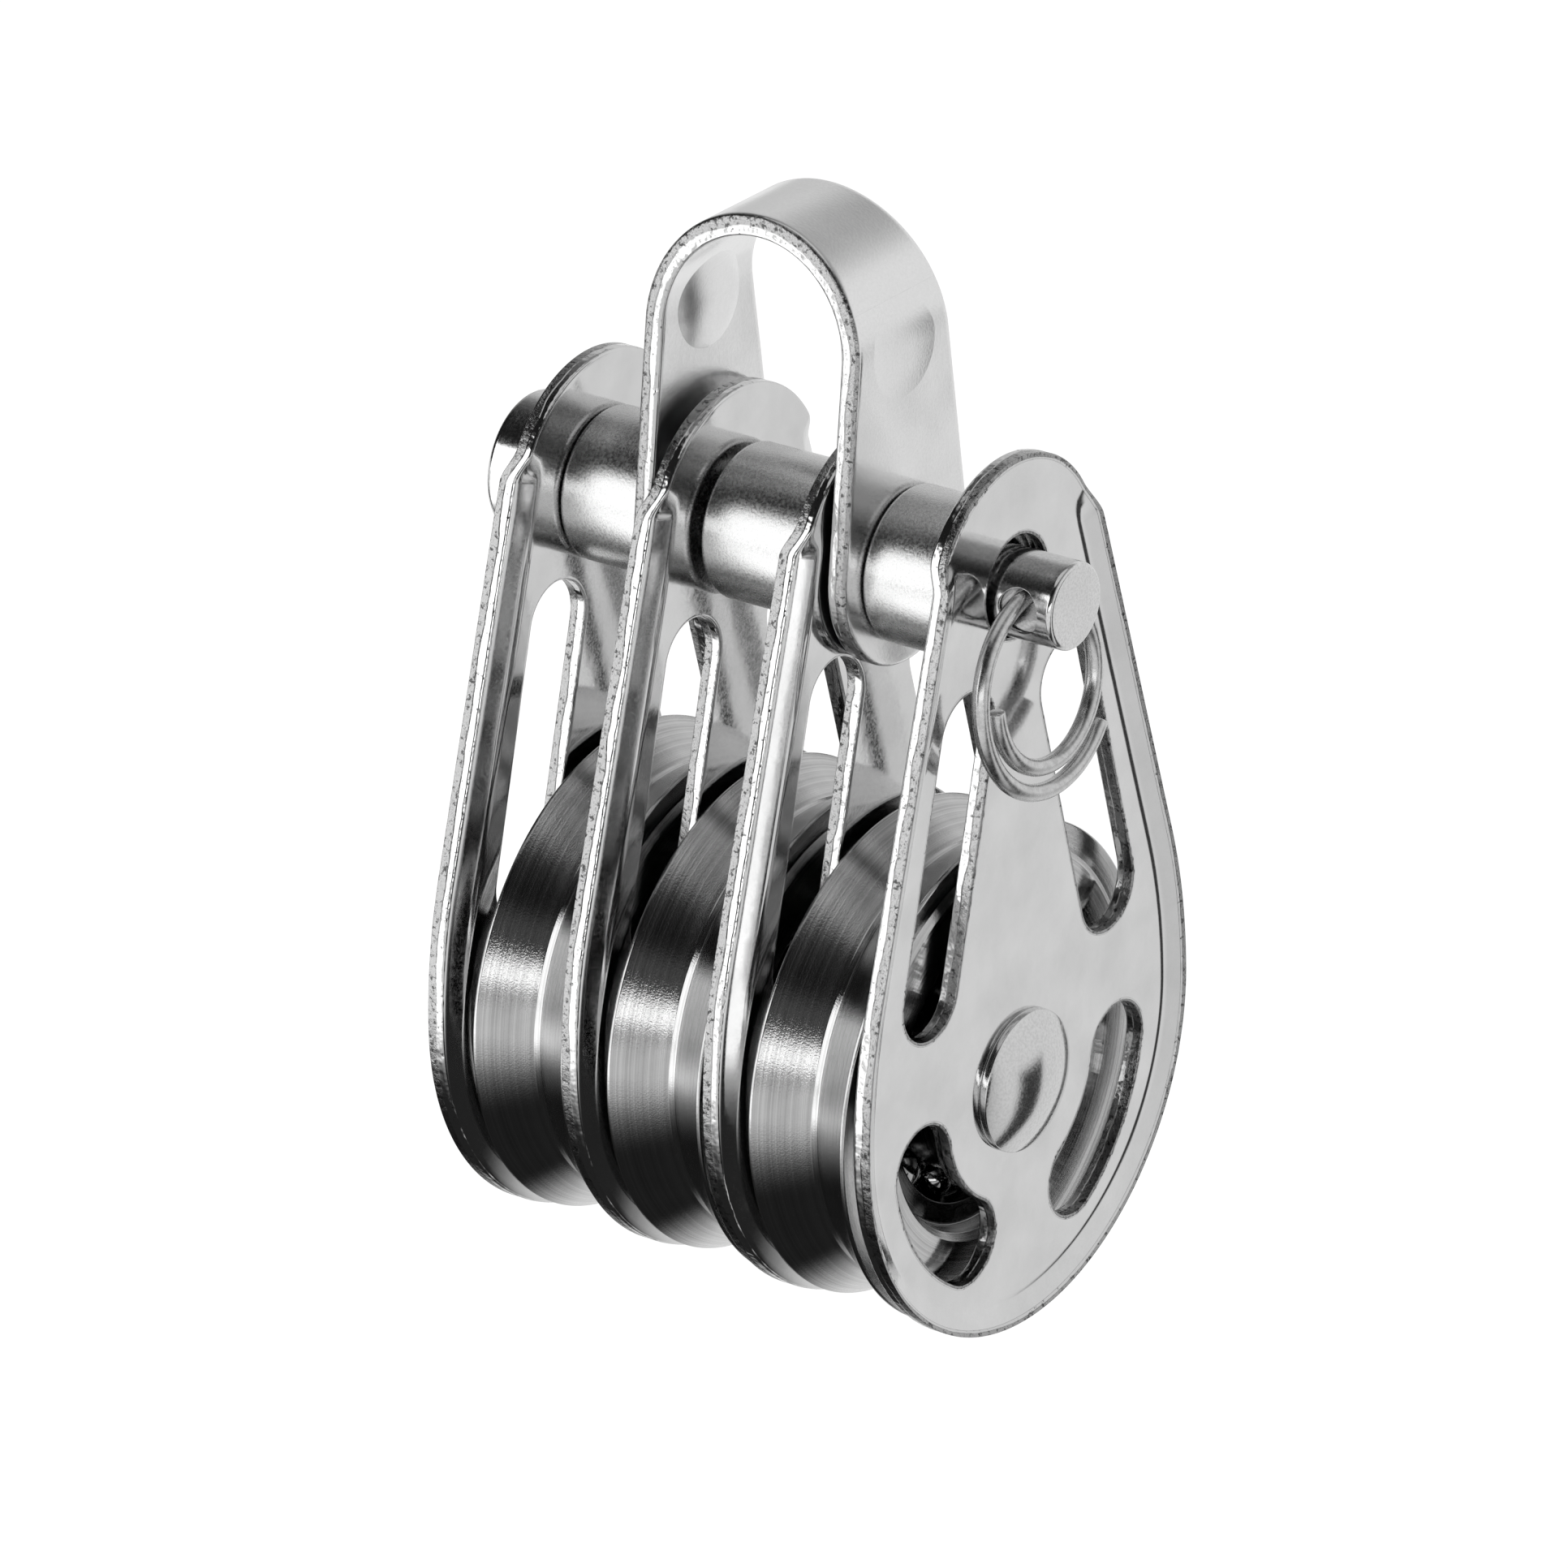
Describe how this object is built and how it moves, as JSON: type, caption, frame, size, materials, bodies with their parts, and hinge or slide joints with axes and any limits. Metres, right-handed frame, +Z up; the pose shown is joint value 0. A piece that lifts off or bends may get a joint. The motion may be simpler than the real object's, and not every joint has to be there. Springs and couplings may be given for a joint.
{
  "type": "triple pulley block",
  "caption": "Ball-bearing pulley block with sheaves side by side between pressed cheeks, hung from a swinging bow on a clevis pin with a split ring.",
  "frame": {"origin": "the seat of the bow's eye: the top of the hoop's inside, where a shackle bears", "axes": "+X along the axle and the clevis pin, towards the split ring; +Y across the cheeks, away from the picture's viewer; +Z up, out through the crown of the bow"},
  "size_m": [0.0447, 0.0372, 0.0769],
  "materials": {
    "plate_steel": "polished pressed sheet",
    "bow_steel": "satin strip",
    "turned_steel": "turned, bright",
    "tube_steel": "dull tube",
    "sheave_steel": "fine turned rings",
    "ball_steel": "bright ball",
    "wire_steel": "bright wire"
  },
  "bodies": {
    "bow": {"bow": "bow_steel"},
    "frame": {"cheek_outer_left": "plate_steel", "cheek_inner_left": "plate_steel", "cheek_inner_right": "plate_steel", "cheek_outer_right": "plate_steel", "axle_rivet": "turned_steel", "axle_sleeve_left": "turned_steel", "axle_sleeve_middle": "turned_steel", "axle_sleeve_right": "turned_steel"},
    "pin": {"clevis_pin": "turned_steel", "spacer_tube_left": "tube_steel", "spacer_tube_middle": "tube_steel", "spacer_tube_right": "tube_steel"},
    "ring": {"split_ring": "wire_steel"},
    "sheave_left": {"sheave_left": "sheave_steel"},
    "balls_left": {"ball_set_left": "ball_steel"},
    "sheave_middle": {"sheave_middle": "sheave_steel"},
    "balls_middle": {"ball_set_middle": "ball_steel"},
    "sheave_right": {"sheave_right": "sheave_steel"},
    "balls_right": {"ball_set_right": "ball_steel"}
  },
  "joints": [
    {"name": "block_swing", "type": "hinge", "parent": "bow", "child": "frame", "pos_m": [0, 0, -0.0223], "axis": [1, 0, 0], "range_deg": [-105, 105]},
    {"name": "pin_turn", "type": "hinge", "parent": "frame", "child": "pin", "pos_m": [0, 0, -0.0223], "axis": [1, 0, 0], "continuous": true},
    {"name": "ring_swing", "type": "hinge", "parent": "pin", "child": "ring", "pos_m": [0.01952, 0, -0.0223], "axis": [0, 1, 0], "range_deg": [-165, 6]},
    {"name": "sheave_left_spin", "type": "hinge", "parent": "frame", "child": "sheave_left", "pos_m": [-0.01162, 0, -0.05785], "axis": [1, 0, 0], "continuous": true},
    {"name": "balls_left_roll", "type": "hinge", "parent": "frame", "child": "balls_left", "pos_m": [-0.01162, 0, -0.05785], "axis": [1, 0, 0], "continuous": true},
    {"name": "sheave_middle_spin", "type": "hinge", "parent": "frame", "child": "sheave_middle", "pos_m": [-0.00032, 0, -0.05785], "axis": [1, 0, 0], "continuous": true},
    {"name": "balls_middle_roll", "type": "hinge", "parent": "frame", "child": "balls_middle", "pos_m": [-0.00032, 0, -0.05785], "axis": [1, 0, 0], "continuous": true},
    {"name": "sheave_right_spin", "type": "hinge", "parent": "frame", "child": "sheave_right", "pos_m": [0.01142, 0, -0.05785], "axis": [1, 0, 0], "continuous": true},
    {"name": "balls_right_roll", "type": "hinge", "parent": "frame", "child": "balls_right", "pos_m": [0.01142, 0, -0.05785], "axis": [1, 0, 0], "continuous": true}
  ],
  "couplings": [
    {"joint": "balls_left_roll", "follows": "sheave_left_spin", "ratio": 0.5694},
    {"joint": "balls_middle_roll", "follows": "sheave_middle_spin", "ratio": 0.5694},
    {"joint": "balls_right_roll", "follows": "sheave_right_spin", "ratio": 0.5694}
  ]
}
